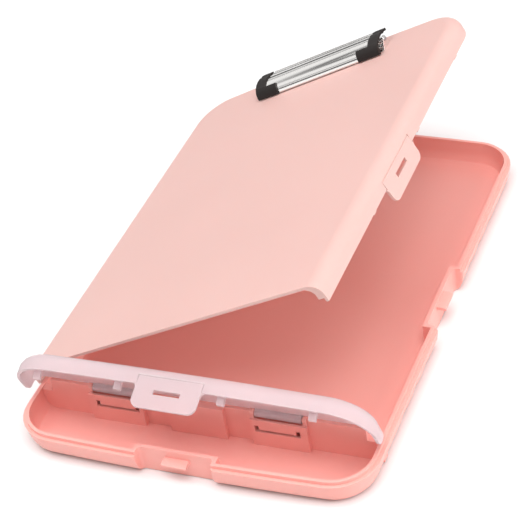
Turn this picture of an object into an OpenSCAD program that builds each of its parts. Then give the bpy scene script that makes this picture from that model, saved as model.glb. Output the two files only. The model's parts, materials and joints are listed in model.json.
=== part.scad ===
// Storage clipboard box: a shallow tray with a document compartment and a pen
// compartment, a hinged writing lid with a spring clip, and a hinged pen cover.
// X runs from the hinge side to the latch side, Y from the pen end to the clip
// end, Z up. The origin is the middle of the tray's underside.

/* [Case] */
// Width of the case, hinge side to latch side
case_w = 230; // [226:1:236]
// Length of the sides, from front corner line to back corner line
case_l = 338; // [334:1:342]
// Outward bow of the front and back ends
end_bow = 3; // [2.5:0.5:4]
// Radius of the four corners in plan
corner_r = 26; // [25:0.5:27]
// Height of the closed case
case_h = 28.6; // [28.4:0.1:29.2]
// Height of the tray's inner rim
rim_h = 17.8; // [17.4:0.1:17.9]
// Height of the shoulder that the lid and cover sit above
shoulder_h = 15.4; // [15.2:0.1:15.4]
// Wall thickness of the lid and of the pen cover
shell_t = 1.8; // [1.7:0.05:1.9]
// Width of the soft edge round the lid and the cover
edge_w = 9; // [8:0.5:10]
// Drop of the soft edge round the lid and the cover
edge_d = 8; // [7.5:0.5:8.5]

/* [Pose] */
// Angle the lid stands open
lid_open = 26; // [0:1:90]
// Angle the pen cover stands open
cover_open = 67; // [0:1:90]
// Angle a free latch tab stands proud of its skirt
latch_proud = 3.5; // [3.5:0.5:5]

/* [Lid hinge] */
// Distance of the hinge line outside the tray's side
lid_axis_out = 1.5; // [1.5:0.1:1.8]
// Radius of the hinge knuckles
knuckle_r = 3; // [2.8:0.1:3]
// Radius of the steel hinge pins
pin_r = 1.25; // [1:0.05:1.3]
// Length of the middle knuckle, which is on the lid
lid_knuckle_l = 14; // [10:1:18]
// Length of each outer knuckle, which is on the tray
tray_knuckle_l = 8; // [6:1:10]

/* [Pen compartment] */
// Half length of the part of the divider that stands above the rim
divider_half = 103; // [101:1:103]
// Middle of the pen cover's hinges and latch, left to right
cover_x = -4.5; // [-5:0.5:0]
// Hinge line of the pen cover, front to back
cover_axis_y = -129.5; // [-129.6:0.1:-129.4]
// Radius of the barrels on the pen cover
barrel_r = 2.6; // [2.4:0.1:2.6]
// Inner end of each hinge housing, from the cover's middle
housing_in = 35.5; // [34.5:0.5:36]
// Outer end of each hinge housing, from the cover's middle
housing_out = 71.5; // [71:0.5:72]
// Height of a hinge housing's front panel
housing_h = 22.4; // [22:0.1:22.5]

/* [Latches] */
// Width of the pen cover's latch tab
cover_tab_w = 41; // [38:1:42]
// Width of the lid's latch tab
lid_tab_w = 49; // [45:1:50]
// Middle of the lid's latch, front to back
lid_latch_y = 2; // [0:1:4]
// Height of the pen cover tab's lower edge
cover_tab_z = 0.8; // [0.8:0.2:2]
// Height of the lid tab's lower edge
lid_tab_z = 4.5; // [4:0.5:6]
// Depth of the recess that takes a latch tab
recess_d = 7.5; // [7.2:0.1:7.8]

/* [Clip] */
// Middle of the clip, left to right
clip_x = 4.5; // [0:0.5:5]
// Half width of the clip, over its grips
clip_half = 52; // [51:1:54]
// Front edge of the clip, front to back
clip_y = 138.5; // [137:0.5:140]
// Height of the pivot rod above the lid
rod_h = 4.7; // [4.6:0.1:4.8]
// Radius of the pivot rod
rod_r = 1.5; // [1.4:0.05:1.6]

/* [Hidden] */

$fn = 48;
eps = 0.01;
half_w = case_w / 2;
front_y = -case_l / 2 - end_bow;
skirt_z = shoulder_h + 0.4;
cover_axis_z = case_h - 3.3;
divider_y = cover_axis_y - 0.5;
divider_h = cover_axis_z + 0.8;
latch_axis_z = case_h - edge_d + 1;
lid_axis_z = shoulder_h + 0.2;
lid_front_y = cover_axis_y + 3.7;
cover_back_y = cover_axis_y - 1.2;
lid_axis_x = -half_w - lid_axis_out;
lid_hinge_ys = [-88, 20, 128];
// Insets from the case's outline to the rim's outer and inner faces
rim_out = 2.2;
rim_in = 4.2;
recess_wall_t = 2.2;
recess_r = 2.5;
housing_d = 3.2;
knuckle_gap = 0.4;
fit_gap = 0.05;
hinge_run = lid_knuckle_l + 2 * knuckle_gap + 2 * tray_knuckle_l;
ear_t = 2.5;
ear_r = 2.2;
barrel_gap = 0.8;
cover_recess_half = 24.5;
lid_recess_half = 28;
cover_locator_xs = [-90, -35, 31, 87];
cover_end_r = 5;
tab_t = 1.8;
bead_inset = 0.95;
bead_r = 0.6;
slit_w = 0.4;
cover_catch_z = 11.4;
lid_catch_z = 14;
catch_half = 8;
catch_out = 1.4;
locator_w = 4.5;
lid_locator_ys = [-38, 48, 131];
clip_plate_t = 0.8;
rod_y = clip_y + 12.7;
rod_z = case_h + rod_h;
lug_x = clip_half + 1.3;
lug_end = lug_x + clip_plate_t;
cheek_x = clip_half - 2.6;
rivet_x = 40;
rivet_y = clip_y + 7;
rivet_r = 2;
lay = 0.02;
pink = "#f3c3bd";
frosted = "#e4cdd0";
steel = "#c8c8cc";
black = "#2b2523";

// ---- Plan outline: a rounded rectangle whose two ends bow outward ----

function bow(x) = end_bow * (1 - pow(x / half_w, 2));

function corner(sx, sy, a0, inset) =
    let (r = corner_r - inset, cx = sx * (half_w - corner_r), cy = sy * (case_l / 2 - corner_r))
    [for (i = [0:8]) let (a = a0 + i * 90 / 8, x = cx + r * cos(a))
        [x, cy + r * sin(a) + sy * abs(sin(a)) * bow(x)]];

function end_line(sy, inset) =
    [for (i = [1:7]) let (x = sy * (half_w - corner_r) * (1 - i / 4))
        [x, sy * (case_l / 2 - inset + bow(x))]];

function outline(inset) = concat(corner(1, 1, 0, inset), end_line(1, inset),
    corner(-1, 1, 90, inset), corner(-1, -1, 180, inset), end_line(-1, inset),
    corner(1, -1, 270, inset));

// A solid through a list of [inset, height] levels of the outline
module levels(steps) {
    n = len(outline(0));
    top = len(steps) - 1;
    polyhedron(
        points = [for (s = steps, p = outline(s[0])) [p[0], p[1], s[1]]],
        faces = concat([[for (i = [0:n - 1]) i]], [[for (i = [n - 1:-1:0]) top * n + i]],
            [for (k = [0:top - 1], i = [0:n - 1]) [k * n + i, (k + 1) * n + i, k * n + (i + 1) % n]],
            [for (k = [0:top - 1], i = [0:n - 1])
                [(k + 1) * n + i, (k + 1) * n + (i + 1) % n, k * n + (i + 1) % n]]));
}

// A box from corner to corner
module box(a, b)
    translate(a)
        cube(b - a);

// The same on the left and on the right
module both_sides()
    for (s = [0, 1])
        mirror([s, 0, 0])
            children();

// The same on the left and on the right of the pen cover's middle
module cover_sides()
    translate([cover_x, 0, 0])
        both_sides()
            children();

// A cylinder along X or along Y, from one end
module rod_x(x, l, y, z, r)
    translate([x, y, z])
        rotate([0, 90, 0])
            cylinder(h = l, r = r);

module rod_y(y, l, x, z, r)
    translate([x, y, z])
        rotate([-90, 0, 0])
            cylinder(h = l, r = r);

// A profile drawn in Y and Z, extruded along X
module profile_x(x, l, points)
    translate([x, 0, 0])
        rotate([90, 0, 90])
            linear_extrude(l)
                polygon(points);

// ---- Rest pose: the lid and the pen cover stand open ----

module lid_pose()
    translate([lid_axis_x, 0, lid_axis_z])
        rotate([0, -lid_open, 0])
            translate([-lid_axis_x, 0, -lid_axis_z])
                children();

module cover_pose()
    translate([0, cover_axis_y, cover_axis_z])
        rotate([-cover_open, 0, 0])
            translate([0, -cover_axis_y, -cover_axis_z])
                children();

// Places a piece of the clip, drawn about the clip's own middle
module clip_pose()
    lid_pose()
        translate([clip_x, 0, 0])
            children();

// Places a piece drawn with its wall along X and outward along +Y
module on_front()
    translate([cover_x, front_y, 0])
        rotate([0, 0, 180])
            children();

module on_right()
    translate([half_w, lid_latch_y, 0])
        rotate([0, 0, -90])
            children();

// ---- The shell that the lid and the pen cover are both cut from ----

function edge_step(a, t) =
    [edge_w * (1 - cos(a)) + t * cos(a), case_h - edge_d * (1 - sin(a)) - t * sin(a)];

module shell()
    difference() {
        levels(concat([[0, skirt_z]], [for (a = [0:15:90]) edge_step(a, 0)]));
        levels(concat([[shell_t, skirt_z - 1]], [for (a = [0:15:90]) edge_step(a, shell_t)]));
    }

// ---- Hinge knuckles, shared by the tray and the lid ----

module tray_knuckles(r, gap)
    for (y = lid_hinge_ys, s = [0, 1])
        rod_y(y - hinge_run / 2 + s * (hinge_run - tray_knuckle_l) - gap,
            tray_knuckle_l + 2 * gap, lid_axis_x, lid_axis_z, r);

module lid_knuckles(r, gap)
    for (y = lid_hinge_ys)
        rod_y(y - lid_knuckle_l / 2 - gap, lid_knuckle_l + 2 * gap, lid_axis_x, lid_axis_z, r);

// ---- Tray ----

module recess_wall(half_l)
    profile_x(-half_l - recess_wall_t, 2 * (half_l + recess_wall_t), [[-6, 1],
        [-recess_d - recess_wall_t, 1], [-recess_d - recess_wall_t, rim_h],
        [-rim_out - 0.6, rim_h], [-rim_out - 0.6, 7]]);

// The recess in plan, rounded where it meets the side and in its inner corners
module recess_cut(half_l) {
    side = concat([[half_l + recess_r, 5]],
        [for (a = [90:15:180]) [half_l + recess_r * (1 + cos(a)), recess_r * (sin(a) - 1)]],
        [for (a = [0:15:90]) [half_l - recess_r * (1 - cos(a)), -recess_d + recess_r * (1 - sin(a))]]);
    translate([0, 0, -1])
        linear_extrude(rim_h + 3)
            polygon(concat(side, [for (p = backwards(side)) [-p[0], p[1]]]));
}

// The rib a latch tab hooks over, with a sloping top that the tab rides down
module catch_rib(z)
    profile_x(-catch_half, 2 * catch_half, [[-recess_d - 1, z - 1.1], [-catch_out, z - 1.1],
        [-catch_out, z + 0.2], [-catch_out - 2.5, z + 1.1], [-recess_d - 1, z + 1.1]]);

// Shallow hollows along the latch side that fade out below the shoulder
module finger_scallops()
    for (i = [0:2], s = [-1, 1])
        translate([half_w + 38, lid_latch_y + s * (49 + 22 * i), -1])
            cylinder(h = 15, r1 = 43.4, r2 = 38, $fn = 96);

// One hinge housing of the divider: front panel, two ears, and a long slot with
// a square notch over each end
module hinge_housing() {
    front = divider_y - housing_d;
    slot = [housing_in + ear_t, housing_out - ear_t - 2];
    difference() {
        box([housing_in, front, 1], [housing_out, front + 1.6, housing_h]);
        box([slot[0], front - 1, 13], [slot[1], front + 3, 15]);
        for (x = [slot[0], slot[1] - 2.6])
            box([x, front - 1, 14], [x + 2.6, front + 3, 18]);
    }
    for (x = [housing_in, housing_out - ear_t]) {
        box([x, front, 1], [x + ear_t, cover_axis_y + 4.1, housing_h]);
        box([x, cover_axis_y - 2, housing_h - 1], [x + ear_t, cover_axis_y + 2, cover_axis_z]);
        rod_x(x, ear_t, cover_axis_y, cover_axis_z, ear_r);
    }
}

module divider() {
    back = cover_axis_y + 5.3;
    difference() {
        union() {
            box([-half_w + 3, divider_y, 1], [half_w - 3, back, rim_h - 1]);
            box([-divider_half, divider_y, 1], [divider_half, back, divider_h]);
            box([cover_x - 18.5, divider_y - housing_d, 1], [cover_x + 18.5, back, divider_h]);
        }
        cover_sides()
            box([housing_in, divider_y - 5, 2], [housing_out, cover_axis_y + 3.6, divider_h + 1]);
    }
    cover_sides()
        hinge_housing();
}

module divider_coring() {
    y0 = divider_y + 1.8;
    y1 = cover_axis_y + 3.5;
    box([cover_x - housing_in + 5, y0, -1], [cover_x + housing_in - 5, y1, divider_h - 2]);
    box([-divider_half + 3, y0, -1], [cover_x - housing_out - 3, y1, divider_h - 2]);
    box([cover_x + housing_out + 3, y0, -1], [divider_half - 3, y1, divider_h - 2]);
}

module tray_body()
    difference() {
        union() {
            levels([[7.2, 0], [5, 0.9], [3.4, 2.9], [1.8, 6.5], [0, shoulder_h]]);
            translate([0, 0, shoulder_h - 1])
                linear_extrude(rim_h - shoulder_h + 1)
                    polygon(outline(rim_out));
        }
        levels([[11, 2], [7.6, 3], [5.6, 6], [4.8, 10], [rim_in, rim_h + 1]]);
    }

module base_tray()
    color(pink) {
        difference() {
            union() {
                tray_body();
                on_front()
                    recess_wall(cover_recess_half);
                on_right()
                    recess_wall(lid_recess_half);
                divider();
                tray_knuckles(knuckle_r, 0);
                for (y = lid_hinge_ys, s = [-1, 1])
                    translate([lid_axis_x, y + s * (hinge_run - tray_knuckle_l) / 2 - tray_knuckle_l / 2, 10])
                        cube([lid_axis_out + 1.5, tray_knuckle_l, lid_axis_z - 10.4]);
            }
            on_front()
                recess_cut(cover_recess_half);
            on_right()
                recess_cut(lid_recess_half);
            finger_scallops();
            divider_coring();
            lid_knuckles(knuckle_r + knuckle_gap, knuckle_gap);
            tray_knuckles(pin_r, 1);
            cover_sides()
                rod_x(housing_in - eps, housing_out - housing_in + 2 * eps, cover_axis_y, cover_axis_z, pin_r);
        }
        on_front()
            catch_rib(cover_catch_z);
        on_right()
            catch_rib(lid_catch_z);
    }

// ---- Lid ----

// The opening that a latch tab hangs in, and the groove its bead turns in
module latch_opening(tab_w) {
    box([-tab_w / 2 - slit_w, -shell_t - 1, skirt_z - 2], [tab_w / 2 + slit_w, 1, latch_axis_z]);
    rod_x(-tab_w / 2 - slit_w, tab_w + 2 * slit_w, -bead_inset, latch_axis_z, bead_r + fit_gap);
}

module lid_end_rib()
    translate([0, lid_front_y + 2, 0])
        rotate([90, 0, 0])
            linear_extrude(2)
                polygon([[half_w - 1, rim_h + 0.6], [half_w - 5.5, rim_h + 0.6], [half_w - 5.5, case_h - 6.5],
                    [half_w - 6.8, case_h - 4], [half_w - 10.5, case_h - 1.6], [half_w - 6.5, case_h - 1.6],
                    [half_w - 3.5, case_h - 3.4], [half_w - 1.5, case_h - 6]]);

module lid_panel()
    color(pink)
        lid_pose()
            difference() {
                union() {
                    difference() {
                        shell();
                        box([-half_w - 5, front_y - 5, 0], [half_w + 5, lid_front_y, case_h + 5]);
                    }
                    both_sides()
                        lid_end_rib();
                    for (y = lid_locator_ys)
                        box([half_w - 6.8, y - locator_w / 2, 11.3], [half_w - 5.2, y + locator_w / 2, case_h - 2]);
                    lid_knuckles(knuckle_r, 0);
                    for (y = lid_hinge_ys)
                        translate([lid_axis_x, y - lid_knuckle_l / 2, lid_axis_z + 0.4])
                            cube([lid_axis_out + 1, lid_knuckle_l, 5.4]);
                }
                tray_knuckles(knuckle_r + knuckle_gap, knuckle_gap);
                lid_knuckles(pin_r + fit_gap, 1);
                on_right()
                    latch_opening(lid_tab_w);
                for (x = [clip_x - rivet_x, clip_x + rivet_x])
                    translate([x, rivet_y, case_h - 5])
                        cylinder(h = 10, r = rivet_r + fit_gap);
            }

// ---- Pen cover ----

// Distance from the hinge line to the rim's inner face at x
function rim_away(x) =
    let (r = corner_r - rim_in, d = max(abs(x) - half_w + corner_r, 0), s = sqrt(r * r - d * d))
    cover_axis_y + case_l / 2 - corner_r + s + bow(x) * s / r;

// A locating rib whose front face is round about the hinge line, so that it
// swings down inside the rim
module cover_locator(x) {
    away = min(rim_away(x - locator_w / 2), rim_away(x + locator_w / 2)) - 0.5;
    reach = norm([away, cover_axis_z - rim_h]);
    intersection() {
        difference() {
            rod_x(x - locator_w / 2, locator_w, cover_axis_y, cover_axis_z, reach);
            rod_x(x - locator_w, 2 * locator_w, cover_axis_y, cover_axis_z, reach - 2.2);
        }
        box([x - locator_w, front_y, 12.6], [x + locator_w, cover_axis_y - 20, case_h - 2]);
    }
}

// Rounds the lower rear corner at each end of the pen cover
module cover_end_cut() {
    y = cover_back_y - cover_end_r;
    z = skirt_z + cover_end_r;
    profile_x(-half_w - 5, case_w + 10, concat([[y, skirt_z - 2], [y + cover_end_r + 1, skirt_z - 2],
        [y + cover_end_r + 1, z]], [for (a = [0:15:90]) [y + cover_end_r * cos(a), z - cover_end_r * sin(a)]]));
}

module pen_cover() {
    barrel_x = housing_in + ear_t + barrel_gap;
    barrel_l = housing_out - housing_in - 2 * ear_t - 2 * barrel_gap;
    color(frosted)
        cover_pose()
            difference() {
                union() {
                    difference() {
                        shell();
                        box([-half_w - 5, cover_back_y, 0], [half_w + 5, -front_y + 5, case_h + 5]);
                        cover_end_cut();
                    }
                    for (x = cover_locator_xs)
                        cover_locator(cover_x + x);
                    cover_sides() {
                        rod_x(barrel_x, barrel_l, cover_axis_y, cover_axis_z, barrel_r);
                        box([barrel_x, cover_axis_y - 2.8, cover_axis_z + 0.5],
                            [barrel_x + barrel_l, cover_axis_y - 0.6, case_h - 1]);
                    }
                }
                cover_sides() {
                    rod_x(barrel_x - 1, barrel_l + 2, cover_axis_y, cover_axis_z, pin_r + fit_gap);
                    for (x = [housing_in, housing_out - ear_t])
                        rod_x(x - slit_w, ear_t + 2 * slit_w, cover_axis_y, cover_axis_z, ear_r + 0.5);
                }
                on_front()
                    latch_opening(cover_tab_w);
            }
}

// ---- Latch tabs, drawn with the bend line at the origin and outward along +Y ----

function round_end(w, h, r) = concat(
    [for (i = [0:6]) [w / 2 - r + r * cos(i * 15), h + r + r * sin(-i * 15)]],
    [for (i = [6:-1:0]) [-w / 2 + r - r * cos(i * 15), h + r + r * sin(-i * 15)]]);

// Small flares where the tab's sides leave the skirt
function flare(w, top) = [[w / 2, top - 2.6], [w / 2 + 0.3, top - 1.3], [w / 2 + 1, top - 0.4], [w / 2 + 2.1, top]];

module latch_tab(w, end_z, catch_z) {
    reach = latch_axis_z - end_z;
    slot_z = catch_z - latch_axis_z;
    under = skirt_z - latch_axis_z - 0.5;
    side = concat(flare(w, under), [[w / 2, under], [w / 2, -1]]);
    difference() {
        translate([0, tab_t / 2, 0])
            rotate([90, 0, 0])
                linear_extrude(tab_t)
                    polygon(concat(round_end(w, -reach, 5), [for (p = side) [-p[0], p[1]]], backwards(side)));
        box([-catch_half - 0.6, -tab_t, slot_z - 1.5], [catch_half + 0.6, tab_t, slot_z + 1.5]);
    }
    box([-w / 2, -0.45, -1.5], [w / 2, 0.45, 0]);
    rod_x(-w / 2, w, 0, 0, bead_r);
}

module lid_latch()
    color(pink)
        lid_pose()
            on_right()
                translate([0, -bead_inset, latch_axis_z])
                    rotate([latch_proud, 0, 0])
                        latch_tab(lid_tab_w, lid_tab_z, lid_catch_z);

module pen_cover_latch()
    color(frosted)
        cover_pose()
            on_front()
                translate([0, -bead_inset, latch_axis_z])
                    rotate([latch_proud, 0, 0])
                        latch_tab(cover_tab_w, cover_tab_z, cover_catch_z);

// ---- Hinge pins ----

module lid_hinge_pin(i)
    color(steel)
        rod_y(lid_hinge_ys[i] - hinge_run / 2 + 0.2, hinge_run - 0.4, lid_axis_x, lid_axis_z, pin_r);

module pen_cover_hinge_pin(s)
    color(pink)
        translate([cover_x, 0, 0])
            mirror([s, 0, 0])
                rod_x(housing_in + 0.2, housing_out - housing_in - 0.4, cover_axis_y, cover_axis_z, pin_r);

// ---- Clip ----

function turn(a, b) = [a[1] - b[1], b[0] - a[0]] / norm(b - a);

// The line parallel to a path, w to its left
function beside(path, w) =
    [for (i = [0:len(path) - 1])
        let (n = len(path) - 1, a = turn(path[max(i - 1, 0)], path[max(i, 1)]),
            b = turn(path[min(i, n - 1)], path[min(i + 1, n)]), m = (a + b) / norm(a + b))
        path[i] + w * m / (m * a)];

function backwards(list) = [for (i = [len(list) - 1:-1:0]) list[i]];

// Middle line of the bent jaw sheet, in Y and Z, from the gripping edge to the lever
jaw_path = [for (p = [[0.5, 0.75], [0.8, 2.8], [1.9, 5], [4, 6.8], [7, 8.1], [10.5, 8.7], [14.6, 8.6],
    [16.4, 7.8], [18.2, 8.1], [21.8, 7]]) [clip_y + p[0], case_h + p[1]]];

module along_jaw(x, l, from, to, path)
    profile_x(x, l, concat(beside(path, to), backwards(beside(path, from))));

module jaw_cheek(x)
    profile_x(x, clip_plate_t, concat([for (i = [3:7]) jaw_path[i]],
        [[rod_y + 2.4, case_h + 2.2], [rod_y - 3.6, case_h + 2.2]]));

module clip_jaw_plate()
    color(steel)
        clip_pose()
            difference() {
                union() {
                    along_jaw(-clip_half + 1, 2 * clip_half - 2, -clip_plate_t / 2, clip_plate_t / 2, jaw_path);
                    rod_x(-clip_half + 8, 2 * clip_half - 16, clip_y + 21.9, case_h + 6.8, 1.3);
                    both_sides()
                        jaw_cheek(cheek_x);
                }
                rod_x(-clip_half, 2 * clip_half, rod_y, rod_z, rod_r + fit_gap);
            }

module clip_base_plate()
    color(steel)
        clip_pose()
            difference() {
                union() {
                    box([-lug_end, clip_y + 3, case_h + lay], [lug_end, rod_y + 4.5, case_h + clip_plate_t]);
                    both_sides() {
                        profile_x(lug_x, clip_plate_t, [[rod_y - 8.5, case_h + lay], [rod_y - 2.2, rod_z + 1.7],
                            [rod_y + 2.2, rod_z + 1.7], [rod_y + 4.5, case_h + lay]]);
                        rod_x(lug_x, clip_plate_t, rod_y, rod_z, 2.8);
                    }
                }
                rod_x(-lug_end - 1, 2 * lug_end + 2, rod_y, rod_z, rod_r);
                both_sides()
                    translate([rivet_x, rivet_y, case_h - 1])
                        cylinder(h = 4, r = rivet_r + fit_gap);
            }

module clip_pivot_rod()
    color(steel)
        clip_pose()
            rod_x(-lug_end - 0.4, 2 * lug_end + 0.8, rod_y, rod_z, rod_r);

// A torsion spring round the rod: close coils, one leg on the base plate and
// one leg under the jaw's lever
module clip_spring(s) {
    wire_r = 0.4;
    coil_r = rod_r + 0.7;
    color(steel)
        clip_pose()
            mirror([s, 0, 0]) {
                translate([24, rod_y, rod_z])
                    rotate([0, 90, 0])
                        rotate_extrude()
                            for (i = [0:5])
                                translate([coil_r, 0.7 * i])
                                    circle(r = wire_r, $fn = 16);
                translate([24, rod_y - coil_r, rod_z])
                    rotate([-163, 0, 0])
                        cylinder(h = 3.3, r = wire_r, $fn = 24);
                translate([27.5, rod_y + coil_r, rod_z])
                    rotate([-53, 0, 0])
                        cylinder(h = 3.2, r = wire_r, $fn = 24);
            }
}

// A soft cap over one end of the jaw, with a foot along the gripping edge
module clip_grip(s) {
    inner = clip_plate_t / 2 + lay;
    color(black)
        clip_pose()
            mirror([s, 0, 0]) {
                along_jaw(clip_half - 17, 18, inner, inner + 1, [for (i = [0:3]) jaw_path[i]]);
                along_jaw(clip_half - 7, 8, inner, inner + 0.98, jaw_path);
                along_jaw(clip_half - 1 + lay, 2 - lay, -inner, inner + 0.5, jaw_path);
            }
}

module clip_rivets()
    color(steel)
        clip_pose()
            both_sides()
                translate([rivet_x, rivet_y, 0]) {
                    translate([0, 0, case_h - 3.8])
                        cylinder(h = 5.2, r = rivet_r);
                    translate([0, 0, case_h + clip_plate_t + lay])
                        cylinder(h = 1, r1 = 3.4, r2 = 2.6);
                    translate([0, 0, case_h - 4])
                        cylinder(h = 1.1, r1 = 2.4, r2 = 3);
                }

module clip_rivet_washers()
    color(steel)
        clip_pose()
            both_sides()
                translate([rivet_x, rivet_y, case_h - shell_t - 1])
                    difference() {
                        cylinder(h = 1 - lay, r = 4.5);
                        translate([0, 0, -1])
                            cylinder(h = 3, r = rivet_r + fit_gap);
                    }

base_tray();
lid_panel();
lid_latch();
pen_cover();
pen_cover_latch();
lid_hinge_pin(0);  // lid_hinge_pin_front
lid_hinge_pin(1);  // lid_hinge_pin_middle
lid_hinge_pin(2);  // lid_hinge_pin_rear
pen_cover_hinge_pin(1);  // pen_cover_hinge_pin_left
pen_cover_hinge_pin(0);  // pen_cover_hinge_pin_right
clip_base_plate();
clip_jaw_plate();
clip_pivot_rod();
clip_spring(1);  // clip_spring_left
clip_spring(0);  // clip_spring_right
clip_grip(1);  // clip_grip_left
clip_grip(0);  // clip_grip_right
clip_rivets();
clip_rivet_washers();
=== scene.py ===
import json
import math

import bpy
from mathutils import Matrix, Vector

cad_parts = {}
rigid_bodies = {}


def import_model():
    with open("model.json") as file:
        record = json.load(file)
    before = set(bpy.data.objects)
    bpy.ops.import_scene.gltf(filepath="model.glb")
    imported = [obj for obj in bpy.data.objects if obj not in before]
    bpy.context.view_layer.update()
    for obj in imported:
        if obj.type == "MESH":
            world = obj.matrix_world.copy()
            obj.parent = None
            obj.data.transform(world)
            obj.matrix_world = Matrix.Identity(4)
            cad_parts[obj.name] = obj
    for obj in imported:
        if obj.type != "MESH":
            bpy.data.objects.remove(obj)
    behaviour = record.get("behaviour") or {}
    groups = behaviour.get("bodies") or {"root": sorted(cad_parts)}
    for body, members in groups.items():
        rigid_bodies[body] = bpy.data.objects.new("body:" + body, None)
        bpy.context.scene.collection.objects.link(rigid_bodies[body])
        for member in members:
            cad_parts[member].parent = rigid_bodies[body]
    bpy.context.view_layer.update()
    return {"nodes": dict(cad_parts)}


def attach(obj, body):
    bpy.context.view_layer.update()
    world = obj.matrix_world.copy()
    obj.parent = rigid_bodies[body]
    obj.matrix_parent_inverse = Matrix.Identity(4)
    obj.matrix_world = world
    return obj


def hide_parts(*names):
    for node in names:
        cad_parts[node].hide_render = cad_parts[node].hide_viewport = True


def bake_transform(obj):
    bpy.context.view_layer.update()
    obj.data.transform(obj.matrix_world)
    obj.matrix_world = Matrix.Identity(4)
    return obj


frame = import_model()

MM = 0.001


# ---- Base tray ----
# One injection moulding in pink polypropylene: floor, walls, rim, the divider with
# its hinge housings, and the outer knuckles of the lid's hinges.

MERGE_GAP = 0.004 * MM
FLAT_WITHIN = math.radians(0.4)
SHARP_FROM = math.radians(32)
SMOOTH_UP_TO = math.radians(40)


def copy_of(node, name):
    """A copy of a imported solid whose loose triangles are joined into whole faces."""
    bpy.ops.object.select_all(action="DESELECT")
    source = frame["nodes"][node]
    piece = source.copy()
    piece.data = source.data.copy()
    piece.name = name
    bpy.context.scene.collection.objects.link(piece)
    piece.select_set(True)
    bpy.context.view_layer.objects.active = piece
    bpy.ops.object.mode_set(mode="EDIT")
    bpy.ops.mesh.select_all(action="SELECT")
    bpy.ops.mesh.remove_doubles(threshold=MERGE_GAP)
    bpy.ops.mesh.dissolve_limited(angle_limit=FLAT_WITHIN)
    bpy.ops.object.mode_set(mode="OBJECT")
    return piece


def soften(piece, edge_mm, segments=2):
    """Rounds a piece's sharp edges, as a polished mould leaves them."""
    bpy.ops.object.select_all(action="DESELECT")
    piece.select_set(True)
    bpy.context.view_layer.objects.active = piece
    bevel = piece.modifiers.new("mould_radius", "BEVEL")
    bevel.width = edge_mm * MM
    bevel.segments = segments
    bevel.limit_method = "ANGLE"
    bevel.angle_limit = SHARP_FROM
    bevel.use_clamp_overlap = True
    bevel.miter_outer = "MITER_ARC"
    bpy.ops.object.modifier_apply(modifier=bevel.name)
    bpy.ops.object.shade_smooth_by_angle(angle=SMOOTH_UP_TO)
    flat = piece.modifiers.new("flat_faces", "WEIGHTED_NORMAL")
    flat.keep_sharp = True
    bpy.ops.object.modifier_apply(modifier=flat.name)


def fit_piece(piece, node, body, material):
    """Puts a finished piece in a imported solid's place, on its body."""
    piece.data.materials.clear()
    piece.data.materials.append(material)
    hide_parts(node)
    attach(piece, body)


def group_input(group, name, default):
    """A numeric input of a shader group."""
    made = group.interface.new_socket(name=name, in_out="INPUT", socket_type="NodeSocketFloat")
    made.default_value = default


def group_output(group, name):
    """A numeric output of a shader group."""
    group.interface.new_socket(name=name, in_out="OUTPUT", socket_type="NodeSocketFloat")


def moulded_grain_group():
    """A satin tool texture: a fine spark-eroded grain over a faint long wave."""
    group = bpy.data.node_groups.new("moulded_grain", "ShaderNodeTree")
    group_input(group, "Grain Size", 2600.0)
    group_input(group, "Wave Size", 24.0)
    group_input(group, "Wave Depth", 0.5)
    group_output(group, "Height")
    group_output(group, "Cloud")
    nodes, links = group.nodes, group.links
    start = nodes.new("NodeGroupInput")
    end = nodes.new("NodeGroupOutput")
    place = nodes.new("ShaderNodeTexCoord")
    grain = nodes.new("ShaderNodeTexNoise")
    grain.inputs["Detail"].default_value = 2.0
    wave = nodes.new("ShaderNodeTexNoise")
    wave.inputs["Detail"].default_value = 1.0
    cloud = nodes.new("ShaderNodeTexNoise")
    cloud.inputs["Scale"].default_value = 9.0
    cloud.inputs["Detail"].default_value = 4.0
    relief = nodes.new("ShaderNodeMath")
    relief.operation = "MULTIPLY_ADD"
    for noise in (grain, wave, cloud):
        links.new(place.outputs["Object"], noise.inputs["Vector"])
    links.new(start.outputs["Grain Size"], grain.inputs["Scale"])
    links.new(start.outputs["Wave Size"], wave.inputs["Scale"])
    links.new(wave.outputs["Fac"], relief.inputs[0])
    links.new(start.outputs["Wave Depth"], relief.inputs[1])
    links.new(grain.outputs["Fac"], relief.inputs[2])
    links.new(relief.outputs[0], end.inputs["Height"])
    links.new(cloud.outputs["Fac"], end.inputs["Cloud"])
    return group


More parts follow.
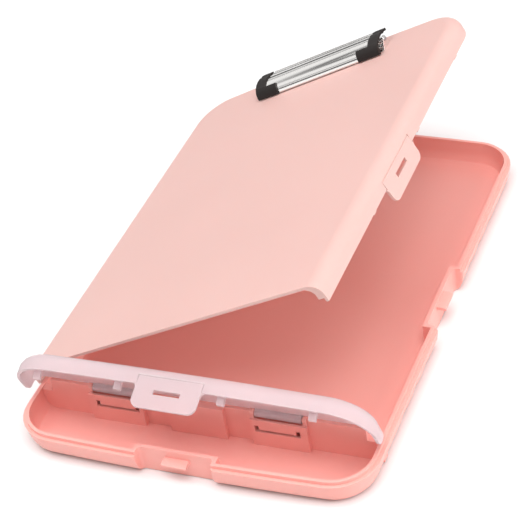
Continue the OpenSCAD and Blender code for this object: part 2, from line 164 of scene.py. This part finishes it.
def edge_wear_and_highlight_group():
    """A mask of the sharp edges, broken up by a noise; it marks edges made lighter, a painted highlight
    on the frosted cover and handling wear on the rubber grips.
    """
    group = bpy.data.node_groups.new("edge_rub", "ShaderNodeTree")
    group_input(group, "Width", 0.7 * MM)
    group_input(group, "Amount", 0.5)
    group_output(group, "Mask")
    nodes, links = group.nodes, group.links
    start = nodes.new("NodeGroupInput")
    end = nodes.new("NodeGroupOutput")
    place = nodes.new("ShaderNodeTexCoord")
    rounded = nodes.new("ShaderNodeBevel")
    rounded.samples = 3
    flat = nodes.new("ShaderNodeNewGeometry")
    bend = nodes.new("ShaderNodeVectorMath")
    bend.operation = "DOT_PRODUCT"
    edge = nodes.new("ShaderNodeMapRange")
    edge.inputs["From Min"].default_value = 0.995
    edge.inputs["From Max"].default_value = 0.8
    speck = nodes.new("ShaderNodeTexNoise")
    speck.inputs["Scale"].default_value = 260.0
    speck.inputs["Detail"].default_value = 3.0
    broken = nodes.new("ShaderNodeMath")
    broken.operation = "MULTIPLY"
    amount = nodes.new("ShaderNodeMath")
    amount.operation = "MULTIPLY"
    links.new(start.outputs["Width"], rounded.inputs["Radius"])
    links.new(rounded.outputs["Normal"], bend.inputs[0])
    links.new(flat.outputs["Normal"], bend.inputs[1])
    links.new(bend.outputs["Value"], edge.inputs["Value"])
    links.new(place.outputs["Object"], speck.inputs["Vector"])
    links.new(edge.outputs["Result"], broken.inputs[0])
    links.new(speck.outputs["Fac"], broken.inputs[1])
    links.new(broken.outputs[0], amount.inputs[0])
    links.new(start.outputs["Amount"], amount.inputs[1])
    links.new(amount.outputs[0], end.inputs["Mask"])
    return group


MOULDED_GRAIN = moulded_grain_group()
EDGE_WEAR_AND_HIGHLIGHT = edge_wear_and_highlight_group()


def place_group(material, group, **values):
    """Puts a shader group into a material, with its own values."""
    node = material.node_tree.nodes.new("ShaderNodeGroup")
    node.node_tree = group
    for name, value in values.items():
        node.inputs[name.replace("_", " ")].default_value = value
    return node


def blank_material(name):
    """A new material with only its shader, and that shader."""
    material = bpy.data.materials.new(name)
    material.use_nodes = True
    return material, material.node_tree.nodes["Principled BSDF"]


def colour_mix(material, factor, low, high):
    """Mixes two colours by a mask."""
    mix = material.node_tree.nodes.new("ShaderNodeMix")
    mix.data_type = "RGBA"
    material.node_tree.links.new(factor, mix.inputs["Factor"])
    for side, value in (("A", low), ("B", high)):
        if isinstance(value, tuple):
            mix.inputs[side].default_value = (*value, 1.0)
        else:
            material.node_tree.links.new(value, mix.inputs[side])
    return mix.outputs["Result"]


def spread(material, noise, low, high):
    """Maps the middle of a noise, where most of it lies, onto a range of values."""
    node = material.node_tree.nodes.new("ShaderNodeMapRange")
    material.node_tree.links.new(noise, node.inputs["Value"])
    for name, value in (("From Min", 0.3), ("From Max", 0.7), ("To Min", low), ("To Max", high)):
        node.inputs[name].default_value = value
    return node.outputs["Result"]


def bumped(material, shader, height, depth_mm, strength):
    """Roughens a shader's surface by a height."""
    bump = material.node_tree.nodes.new("ShaderNodeBump")
    bump.inputs["Strength"].default_value = strength
    bump.inputs["Distance"].default_value = depth_mm * MM
    material.node_tree.links.new(height, bump.inputs["Height"])
    material.node_tree.links.new(bump.outputs["Normal"], shader.inputs["Normal"])


def pink_plastic(name, colour, deep, edge_colour):
    """Satin moulded plastic with a fine grain, faint clouding and lighter sharp edges."""
    material, shader = blank_material(name)
    links = material.node_tree.links
    grain = place_group(material, MOULDED_GRAIN)
    edge_mask = place_group(material, EDGE_WEAR_AND_HIGHLIGHT, Amount=0.6)
    cloud = grain.outputs["Cloud"]
    clouded = colour_mix(material, spread(material, cloud, low=0.0, high=1.0), deep, colour)
    # The sharp edges are mixed towards the lighter edge colour.
    edge_coloured = colour_mix(material, edge_mask.outputs["Mask"], clouded, edge_colour)
    links.new(edge_coloured, shader.inputs["Base Color"])
    links.new(spread(material, cloud, low=0.36, high=0.5), shader.inputs["Roughness"])
    shader.inputs["Specular IOR Level"].default_value = 0.45
    shader.inputs["Subsurface Weight"].default_value = 0.18
    shader.inputs["Subsurface Radius"].default_value = (1.0, 0.45, 0.35)
    shader.inputs["Subsurface Scale"].default_value = 1.6 * MM
    bumped(material, shader, grain.outputs["Height"], depth_mm=0.02, strength=0.5)
    return material


CASE_PINK = pink_plastic(
    "case_pink", colour=(0.95, 0.44, 0.39), deep=(0.93, 0.42, 0.37), edge_colour=(0.96, 0.58, 0.54))

tray = copy_of("base_tray", "tray")
soften(tray, edge_mm=0.45)
fit_piece(tray, "base_tray", "base", CASE_PINK)


# ---- Lid ----
# The pink writing board, moulded in the same plastic as the tray, with a soft edge on three
# sides, hinge knuckles on the left and a latch tab on the right. Its paler pink is painted
# light: the look of strong light falling on it, put into its colour.

# This paler copy of the tray's pink is painted light.
LID_PINK_PAINTED_LIGHT = pink_plastic(
    "lid_pink", colour=(0.72, 0.455, 0.415), deep=(0.705, 0.44, 0.40), edge_colour=(0.82, 0.60, 0.56))

lid = copy_of("lid_panel", "lid_board")
soften(lid, edge_mm=0.4)
fit_piece(lid, "lid_panel", "lid", LID_PINK_PAINTED_LIGHT)

lid_tab = copy_of("lid_latch", "lid_latch_tab")
soften(lid_tab, edge_mm=0.4, segments=3)
fit_piece(lid_tab, "lid_latch", "lid_latch_tab", LID_PINK_PAINTED_LIGHT)


# ---- Pen cover ----
# A frosted, faintly pink cover moulded in clear plastic with a matt outer face.
# It hangs on two barrels and closes with a tab of its own.

def frosted_plastic():
    """Clear plastic whose matt face scatters what shows through, with a painted highlight whitening its
    edges.
    """
    material, shader = blank_material("frosted_clear")
    links = material.node_tree.links
    grain = place_group(material, MOULDED_GRAIN, Grain_Size=1800.0)
    edge_mask = place_group(material, EDGE_WEAR_AND_HIGHLIGHT, Width=0.9 * MM, Amount=1.4)
    cloud = grain.outputs["Cloud"]
    pale, paler = (0.84, 0.72, 0.74), (0.88, 0.77, 0.79)
    clouded = colour_mix(material, spread(material, cloud, low=0.0, high=1.0), pale, paler)
    # Whitening the sharp edges here is a painted highlight.
    edge_coloured = colour_mix(material, edge_mask.outputs["Mask"], clouded, (1.0, 0.96, 0.96))
    links.new(edge_coloured, shader.inputs["Base Color"])
    links.new(spread(material, cloud, low=0.42, high=0.55), shader.inputs["Roughness"])
    shader.inputs["IOR"].default_value = 1.3
    shader.inputs["Transmission Weight"].default_value = 0.58
    bumped(material, shader, grain.outputs["Height"], depth_mm=0.02, strength=0.5)
    return material


FROSTED = frosted_plastic()

cover = copy_of("pen_cover", "pen_cover_shell")
soften(cover, edge_mm=0.35)
fit_piece(cover, "pen_cover", "cover", FROSTED)

cover_tab = copy_of("pen_cover_latch", "pen_cover_tab")
soften(cover_tab, edge_mm=0.4, segments=3)
fit_piece(cover_tab, "pen_cover_latch", "cover_latch_tab", FROSTED)


# ---- Hinge pins ----
# The lid turns on three pieces of drawn steel wire pressed through the knuckles.
# The pen cover turns on two short pins moulded in the tray's own pink plastic.

def metal(name, colour, smooth, rough, stretch=1.0, tilt=0.0):
    """Bright metal with a fine grain, stretched along an X axis that tilt turns about Y."""
    material, shader = blank_material(name)
    nodes, links = material.node_tree.nodes, material.node_tree.links
    place = nodes.new("ShaderNodeTexCoord")
    turn = nodes.new("ShaderNodeMapping")
    turn.vector_type = "TEXTURE"
    turn.inputs["Rotation"].default_value = (0.0, math.radians(tilt), 0.0)
    turn.inputs["Scale"].default_value = (stretch, 1.0, 1.0)
    line = nodes.new("ShaderNodeTexNoise")
    line.inputs["Scale"].default_value = 900.0
    line.inputs["Detail"].default_value = 3.0
    links.new(place.outputs["Object"], turn.inputs["Vector"])
    links.new(turn.outputs["Vector"], line.inputs["Vector"])
    edge_mask = place_group(material, EDGE_WEAR_AND_HIGHLIGHT, Width=0.3 * MM, Amount=0.5)
    edge_coloured = colour_mix(material, edge_mask.outputs["Mask"], colour, (0.9, 0.9, 0.9))
    links.new(edge_coloured, shader.inputs["Base Color"])
    links.new(spread(material, line.outputs["Fac"], smooth, rough), shader.inputs["Roughness"])
    shader.inputs["Metallic"].default_value = 1.0
    bumped(material, shader, line.outputs["Fac"], depth_mm=0.004, strength=0.3)
    return material


DRAWN_STEEL = metal("drawn_steel", (0.55, 0.55, 0.56), smooth=0.22, rough=0.36)

for node in ("lid_hinge_pin_front", "lid_hinge_pin_middle", "lid_hinge_pin_rear"):
    pin = copy_of(node, node + "_wire")
    soften(pin, edge_mm=0.2)
    fit_piece(pin, node, "base", DRAWN_STEEL)

for node in ("pen_cover_hinge_pin_left", "pen_cover_hinge_pin_right"):
    pin = copy_of(node, node + "_moulded")
    soften(pin, edge_mm=0.2)
    fit_piece(pin, node, "base", CASE_PINK)


# ---- Clip ----
# A chromed steel clip riveted to the lid: a base plate with two lugs, a bent jaw
# on a rod, and soft black caps on the jaw's ends.

LID_OPEN_DEGREES = 26.0
CHROME = metal(
    "clip_chrome", (0.85, 0.83, 0.81), smooth=0.06, rough=0.16, stretch=60.0, tilt=-LID_OPEN_DEGREES)


def grip_rubber():
    """Soft black rubber, a little greyer where it is handled."""
    material, shader = blank_material("grip_black")
    links = material.node_tree.links
    grain = place_group(material, MOULDED_GRAIN, Grain_Size=3200.0)
    edge_mask = place_group(material, EDGE_WEAR_AND_HIGHLIGHT, Amount=0.7)
    edge_coloured = colour_mix(material, edge_mask.outputs["Mask"], (0.013, 0.009, 0.008), (0.05, 0.04, 0.036))
    links.new(edge_coloured, shader.inputs["Base Color"])
    links.new(spread(material, grain.outputs["Cloud"], low=0.42, high=0.55), shader.inputs["Roughness"])
    shader.inputs["Specular IOR Level"].default_value = 0.3
    bumped(material, shader, grain.outputs["Height"], depth_mm=0.02, strength=0.6)
    return material


GRIP_BLACK = grip_rubber()

for node, body, slot, material, edge_mm in (
        ("clip_base_plate", "lid", "chrome_plate", CHROME, 0.15),
        ("clip_jaw_plate", "clip_jaw", "chrome_plate", CHROME, 0.2),
        ("clip_pivot_rod", "lid", "steel", DRAWN_STEEL, 0.2),
        ("clip_rivets", "lid", "steel", DRAWN_STEEL, 0.2),
        ("clip_rivet_washers", "lid", "steel", DRAWN_STEEL, 0.15),
        ("clip_grip_left", "clip_jaw", "grip_rubber", GRIP_BLACK, 0.3),
        ("clip_grip_right", "clip_jaw", "grip_rubber", GRIP_BLACK, 0.3)):
    part = copy_of(node, node + "_finished")
    soften(part, edge_mm)
    fit_piece(part, node, body, material)


# ---- Clip springs ----
# Two torsion springs of drawn wire on the clip's rod. On the real clip the inner leg stays on
# the base plate and the outer one goes with the jaw; here the springs are taken off their body
# and stay fixed where they stand.

for node, side in (("clip_spring_left", 1.0), ("clip_spring_right", -1.0)):
    spring = copy_of(node, node + "_wire")
    soften(spring, edge_mm=0.05)
    bpy.ops.object.parent_clear(type="CLEAR_KEEP_TRANSFORM")
    spring.data.materials.clear()
    spring.data.materials.append(DRAWN_STEEL)
    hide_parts(node)
    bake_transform(spring)


# ---- Stage ----
# A white table in a bright room: one broad soft light overhead, a low one on the
# right, a weak one on the left, and a white surround whose reflection has the dark
# gaps between a studio's white panels and above its floor.

ROOM_PANELS = (
    (0.08, 0.03), (0.12, 0.8), (0.2, 0.9), (0.24, 0.05), (0.28, 0.95),
    (0.47, 1.0), (0.51, 0.05), (0.56, 0.9), (0.8, 1.0))
ROOM_GREY = 0.48

bpy.ops.object.select_all(action="DESELECT")
bpy.ops.mesh.primitive_plane_add(size=6.0, location=(0.0, 0.0, -0.5 * MM))
table = bpy.context.object
table.name = "white_table"
table_white, table_shader = blank_material("table_white")
table_shader.inputs["Base Color"].default_value = (0.85, 0.85, 0.85, 1.0)
table_shader.inputs["Roughness"].default_value = 0.9
table.data.materials.append(table_white)

scene = bpy.context.scene
scene.view_settings.view_transform = "Standard"
world = bpy.data.worlds.new("white_room")
scene.world = world
world.use_nodes = True
surround = world.node_tree.nodes["Background"]
surround.inputs["Strength"].default_value = 1.0
room_nodes, room_links = world.node_tree.nodes, world.node_tree.links
direction = room_nodes.new("ShaderNodeTexCoord")
split = room_nodes.new("ShaderNodeSeparateXYZ")
panels = room_nodes.new("ShaderNodeValToRGB")
for stop, shade in ROOM_PANELS:
    band = panels.color_ramp.elements.new(stop)
    band.color = (shade, shade, shade, 1.0)
ray = room_nodes.new("ShaderNodeLightPath")
choose = room_nodes.new("ShaderNodeMix")
choose.data_type = "RGBA"
choose.inputs["A"].default_value = (ROOM_GREY, ROOM_GREY, ROOM_GREY, 1.0)
room_links.new(direction.outputs["Generated"], split.inputs[0])
room_links.new(split.outputs["Z"], panels.inputs["Fac"])
room_links.new(ray.outputs["Is Glossy Ray"], choose.inputs["Factor"])
room_links.new(panels.outputs["Color"], choose.inputs["B"])
room_links.new(choose.outputs["Result"], surround.inputs["Color"])


def soft_light(name, place, aim, size, power):
    """A square soft light of that size and power, turned to its aim."""
    lamp = bpy.data.lights.new(name, "AREA")
    lamp.energy = power
    lamp.size = size
    light = bpy.data.objects.new(name, lamp)
    scene.collection.objects.link(light)
    light.location = place
    light.rotation_euler = (Vector(aim) - Vector(place)).to_track_quat("-Z", "Y").to_euler()


soft_light("broad_light", place=(0.3, -0.45, 1.92), aim=(0.0, 0.0, 0.0), size=1.5, power=31.0)
soft_light("right_light", place=(1.5, 0.1, 0.55), aim=(0.0, 0.0, 0.03), size=0.9, power=11.0)
soft_light("left_light", place=(-1.0, -0.1, 1.4), aim=(0.0, 0.0, 0.05), size=1.0, power=8.0)

TARGET = (-0.030587, 0.035393, 0.0)
AZIMUTH = math.radians(27.745)
ELEVATION = math.radians(37.668)
ROLL = math.radians(-10.822)
DISTANCE = 1.198196
FOCAL_PIXELS = 1771.54
IMAGE_PIXELS = 520
SENSOR_WIDTH = 36.0

lens = bpy.data.cameras.new("camera")
lens.sensor_width = SENSOR_WIDTH
lens.lens = FOCAL_PIXELS / IMAGE_PIXELS * lens.sensor_width
camera = bpy.data.objects.new("camera", lens)
scene.collection.objects.link(camera)
back = Vector((
    math.sin(AZIMUTH) * math.cos(ELEVATION),
    -math.cos(AZIMUTH) * math.cos(ELEVATION),
    math.sin(ELEVATION)))
level = Vector((math.cos(AZIMUTH), math.sin(AZIMUTH), 0.0))
upright = back.cross(level)
right = level * math.cos(ROLL) + upright * math.sin(ROLL)
up = upright * math.cos(ROLL) - level * math.sin(ROLL)
camera.matrix_world = Matrix((right, up, back)).transposed().to_4x4()
camera.location = Vector(TARGET) + back * DISTANCE
scene.camera = camera
